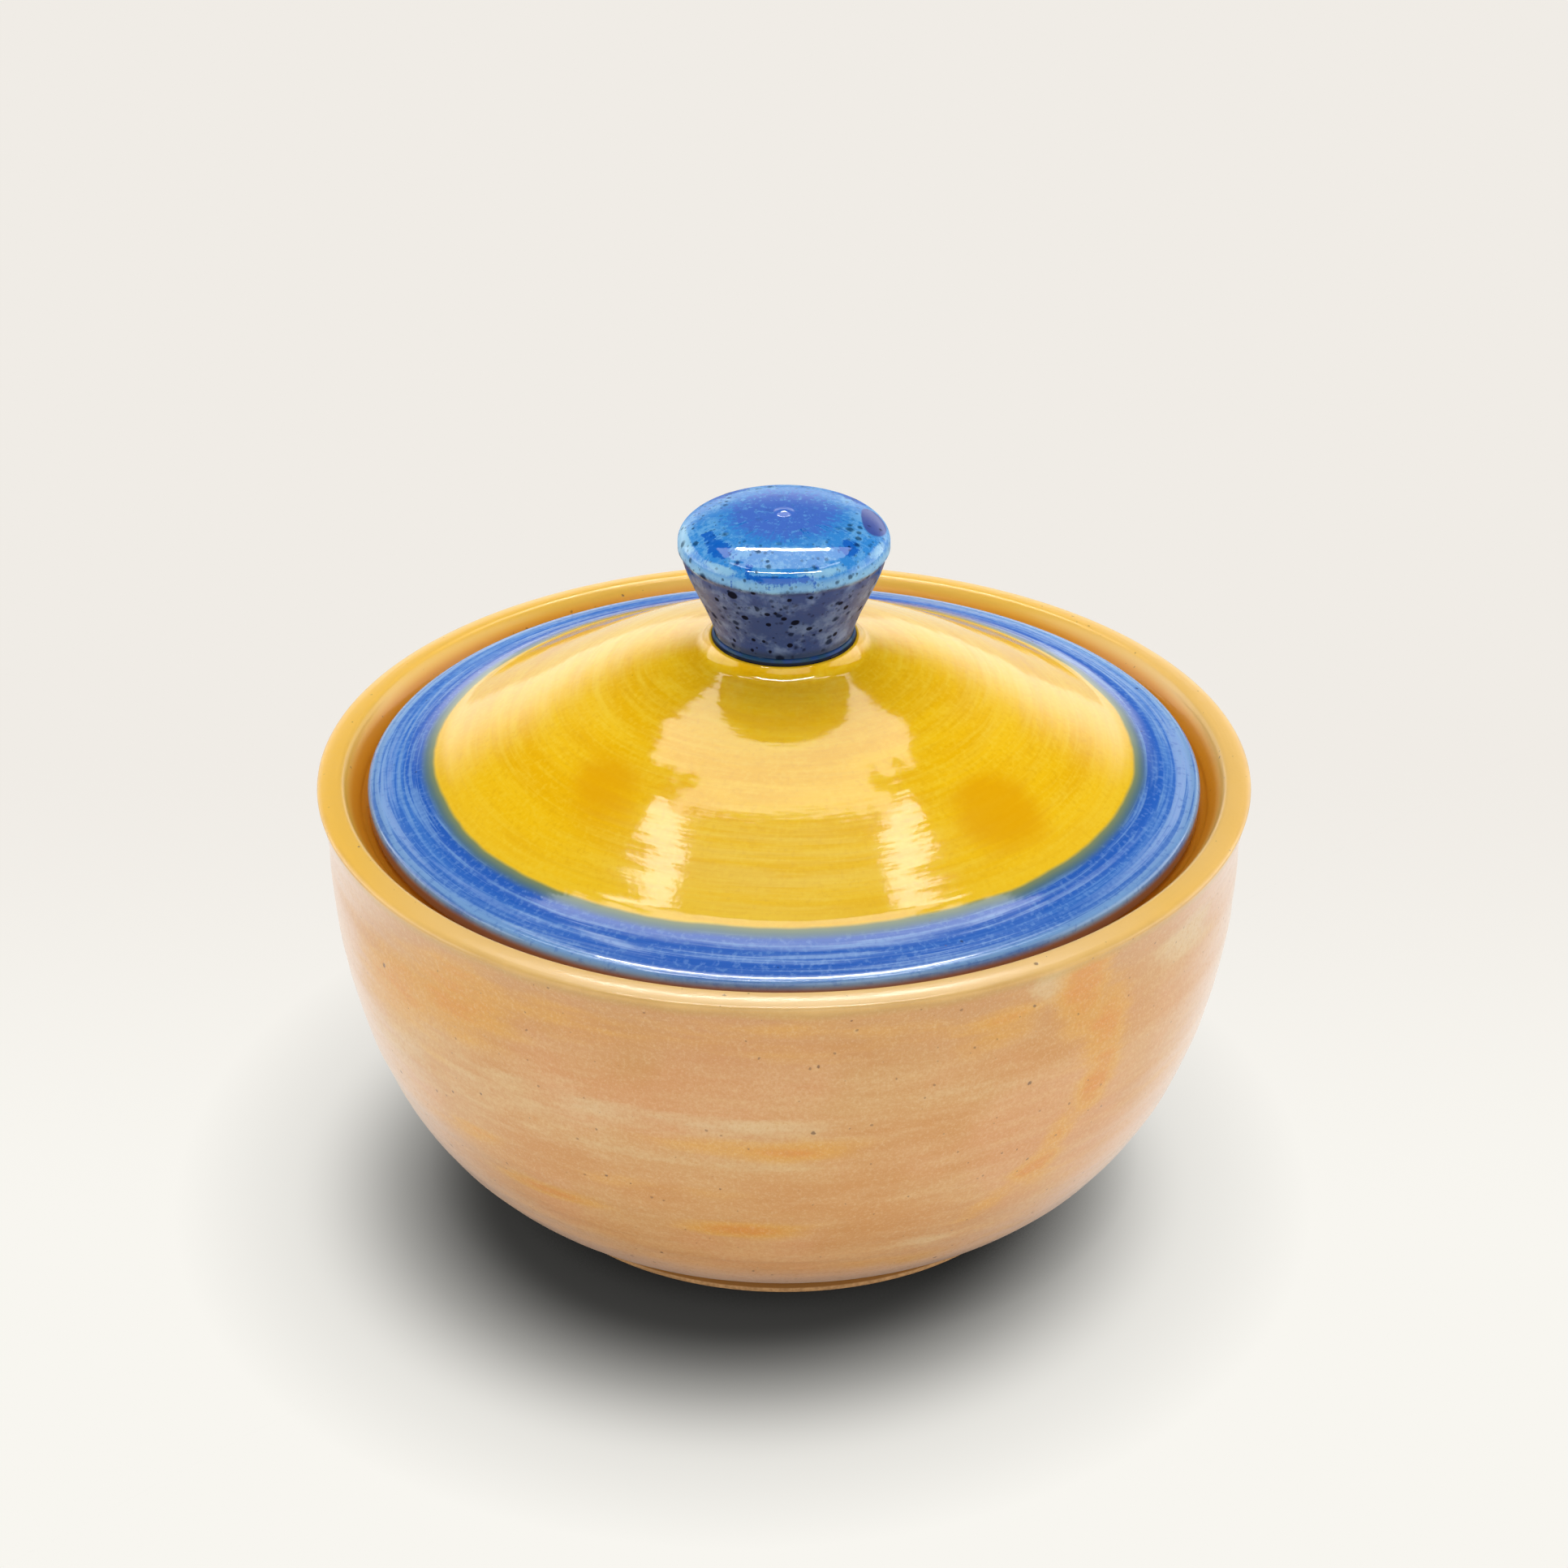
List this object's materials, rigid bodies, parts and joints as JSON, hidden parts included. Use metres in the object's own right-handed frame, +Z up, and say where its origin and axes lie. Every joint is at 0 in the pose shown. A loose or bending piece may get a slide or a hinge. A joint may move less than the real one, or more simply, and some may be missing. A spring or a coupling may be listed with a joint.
{
  "type": "lidded yarn bowl",
  "caption": "Round wheel-thrown stoneware bowl on a turned foot ring, with a domed lift-off lid that rests on a ledge inside the rim and is lifted by a flared knob.",
  "frame": {"origin": "on the axis, at the level of the table that the foot ring stands on", "axes": "+Z up along the axis that every piece was turned about; X and Y are level and alike"},
  "size_m": [0.144, 0.144, 0.1136],
  "materials": {
    "peach_glaze": "satin peach glaze brushed on in level streaks, honey yellow on the rim, bare buff clay at the foot",
    "yellow_glaze": "glossy amber yellow glaze with a cobalt blue band round the edge",
    "blue_glaze": "glossy mottled cobalt glaze with dark specks",
    "navy_glaze": "glossy navy glaze pooled over the slip"
  },
  "bodies": {
    "bowl": {"bowl": "peach_glaze"},
    "lid": {"lid": "yellow_glaze", "knob": "blue_glaze", "slip_ring": "navy_glaze"}
  },
  "joints": [
    {"name": "lid_lift", "type": "slide", "parent": "bowl", "child": "lid", "axis": [0, 0, 1], "range_m": [0, 0.1]}
  ]
}
